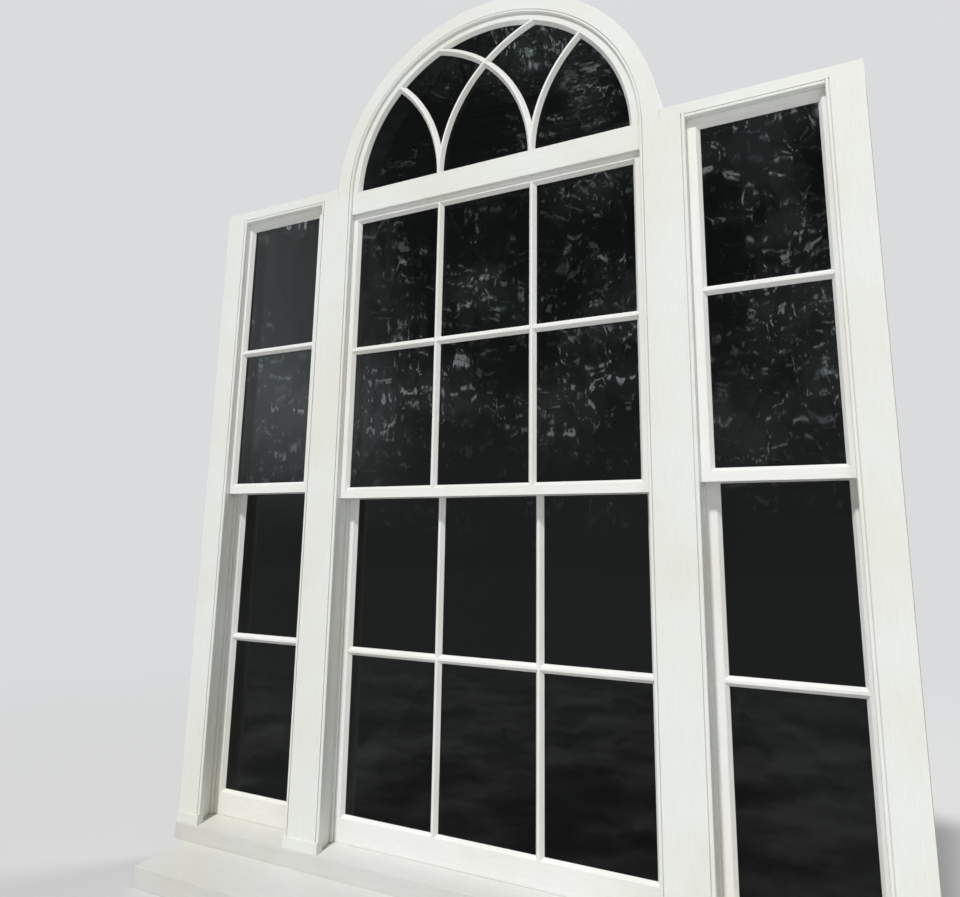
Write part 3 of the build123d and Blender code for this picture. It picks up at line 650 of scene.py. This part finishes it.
def lift_screws(sash, brass):
    """Four screws in the plate of each hook lift; the middle light's sash has two lifts."""
    low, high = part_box(sash + "_sash")
    middle = (low.x + high.x) / 2
    back = high.y + FITTING_PLATE
    height = low.z + BOTTOM_RAIL / 2
    across, up = LIFT_SCREWS
    corners = [(dx, dz) for dx in (-across, across) for dz in (-up, up)]
    lifts = (-LIFT_SPREAD, LIFT_SPREAD) if sash == "centre_lower" else (0,)
    spots = []
    for lift in lifts:
        spots += [((middle + lift + dx, back, height + dz), (0, 1, 0)) for dx, dz in corners]
    screws(sash + "_lift_screws", spots, LIFT_SCREW_R, brass, sash + "_sash")


def drive_screws(brass, iron):
    pulley_screws(iron)
    for sash in SASHES:
        plate_screws(sash, brass)
        if sash.endswith("lower"):
            lift_screws(sash, brass)


# Studio

def point_at(thing, place, target):
    ahead = (Vector(target) - Vector(place)).normalized()
    turn = ahead.to_track_quat("-Z", "Y").to_matrix().to_4x4()
    thing.matrix_world = Matrix.Translation(place) @ turn


def area_light(name, place, size, power, mirrored):
    """A soft lamp aimed at the window; mirrored says whether glossy surfaces show it."""
    data = bpy.data.lights.new(name, "AREA")
    data.shape = "SQUARE"
    data.size = size
    data.energy = power
    lamp = new_object(name, data)
    lamp.visible_camera = False
    lamp.visible_transmission = False
    lamp.visible_glossy = mirrored
    point_at(lamp, Vector(place), MIDDLE)


def sun_light(name, azimuth, elevation, spread, strength):
    """An even key from one side: azimuth is measured from the front, to the right."""
    data = bpy.data.lights.new(name, "SUN")
    data.angle = math.radians(spread)
    data.energy = strength
    lamp = new_object(name, data)
    around = math.radians(azimuth)
    up = math.radians(elevation)
    level = math.cos(up)
    source = Vector((math.sin(around) * level, -math.cos(around) * level, math.sin(up)))
    point_at(lamp, source, (0, 0, 0))


def light_studio():
    sun_light("key", **KEY)
    area_light("fill", **FILL)
    area_light("back", **BACK)


def reflected_sky(tree):
    """What the panes reflect: the floor's tone low down, then dark with soft broken light.

    It is paler at the far left, as in the photograph's left light.
    """
    vector = add(tree, "ShaderNodeTexCoord").outputs["Generated"]
    across, unused, height = parts_of(tree, vector)
    broken = noise(tree, vector, *SKY_PATCHES)
    specks = noise(tree, vector, *SKY_SPECKS)
    cloudy = ramp(tree, broken, 0.46, 0.68, 0.12, 0.55)
    bright = ramp(tree, specks, 0.58, 0.67, 0.0, 5.0)
    bright = times(tree, bright, ramp(tree, broken, 0.44, 0.58))
    above = plus(tree, plus(tree, cloudy, bright), ramp(tree, across, *PALE_LEFT))
    above = times(tree, above, ramp(tree, height, 0.0, 0.2))
    strength = plus(tree, above, ramp(tree, height, 0.0, 0.3, 0.34, 0.0))
    inputs = {"Color": (*REFLECTED, 1), "Strength": strength}
    return add(tree, "ShaderNodeBackground", inputs).outputs[0]


def light_world():
    """Plain to the camera and through glass, dimmer as a light, patchy in reflections."""
    world = bpy.data.worlds.new("studio")
    bpy.context.scene.world = world
    world.use_nodes = True
    tree = world.node_tree
    path = add(tree, "ShaderNodeLightPath").outputs
    seen = math_node(tree, "MAXIMUM", path["Is Camera Ray"], path["Is Transmission Ray"])
    plain = tree.nodes["Background"]
    plain.inputs["Color"].default_value = (*BACKGROUND, 1)
    tree.links.new(ramp(tree, seen, 0, 1, AMBIENT, 1.0), plain.inputs["Strength"])
    inputs = {0: path["Is Glossy Ray"], 1: plain.outputs[0], 2: reflected_sky(tree)}
    both = add(tree, "ShaderNodeMixShader", inputs)
    tree.links.new(both.outputs[0], tree.nodes["World Output"].inputs["Surface"])


def lay_floor():
    """A pale floor that fades into the background well away from the window.

    In reflections it is darker and dappled, as the ground in front of a sunlit house is.
    """
    bpy.ops.mesh.primitive_circle_add(vertices=96, radius=FLOOR_RADIUS, fill_type="NGON")
    floor = bpy.context.object
    floor.name = "floor"
    material, tree, bsdf = shader("floor")
    vector = places(tree)
    glossy = add(tree, "ShaderNodeLightPath").outputs["Is Glossy Ray"]
    dapples = ramp(tree, noise(tree, vector, *FLOOR_DAPPLES), 0.38, 0.66)
    dappled = mix_colour(tree, dapples, shaded(FLOOR, FLOOR_SHADED), shaded(FLOOR, FLOOR_SUNLIT))
    tree.links.new(mix_colour(tree, glossy, FLOOR, dappled), bsdf.inputs["Base Color"])
    bsdf.inputs["Roughness"].default_value = 0.9
    level = ramp(tree, glossy, 0, 1, 1.0, FLOOR_REFLECTED)
    glow = add(tree, "ShaderNodeEmission", {"Color": (*BACKGROUND, 1), "Strength": level})
    far = add(tree, "ShaderNodeVectorMath", {0: vector}, operation="LENGTH").outputs["Value"]
    inputs = {0: ramp(tree, far, *FLOOR_FADE), 1: bsdf.outputs[0], 2: glow.outputs[0]}
    both = add(tree, "ShaderNodeMixShader", inputs)
    tree.links.new(both.outputs[0], tree.nodes["Material Output"].inputs["Surface"])
    floor.data.materials.append(material)


def place_camera():
    right = Vector((math.cos(CAMERA_YAW), math.sin(CAMERA_YAW), 0))
    ahead = Vector((-math.sin(CAMERA_YAW), math.cos(CAMERA_YAW), 0)) * math.cos(CAMERA_PITCH)
    ahead = ahead + Vector((0, 0, math.sin(CAMERA_PITCH)))
    up = right.cross(ahead)
    across = math.cos(CAMERA_ROLL) * right + math.sin(CAMERA_ROLL) * up
    upward = math.cos(CAMERA_ROLL) * up - math.sin(CAMERA_ROLL) * right
    turn = Matrix((across, upward, -ahead)).transposed()
    data = bpy.data.cameras.new("camera")
    data.sensor_fit = "HORIZONTAL"
    data.sensor_width = SENSOR_MM
    data.lens = FOCAL_PX * SENSOR_MM / PHOTO_WIDTH
    data.shift_y = (PRINCIPAL_Y_PX - PHOTO_HEIGHT / 2) / PHOTO_WIDTH
    camera = new_object("camera", data)
    camera.matrix_world = Matrix.Translation(CAMERA_PLACE) @ turn.to_4x4()
    bpy.context.scene.camera = camera


place_camera()
light_world()
light_studio()
lay_floor()
dress_timber()
drive_screws(*dress_rest())
hang_cords()
bpy.context.scene.view_settings.view_transform = "Standard"
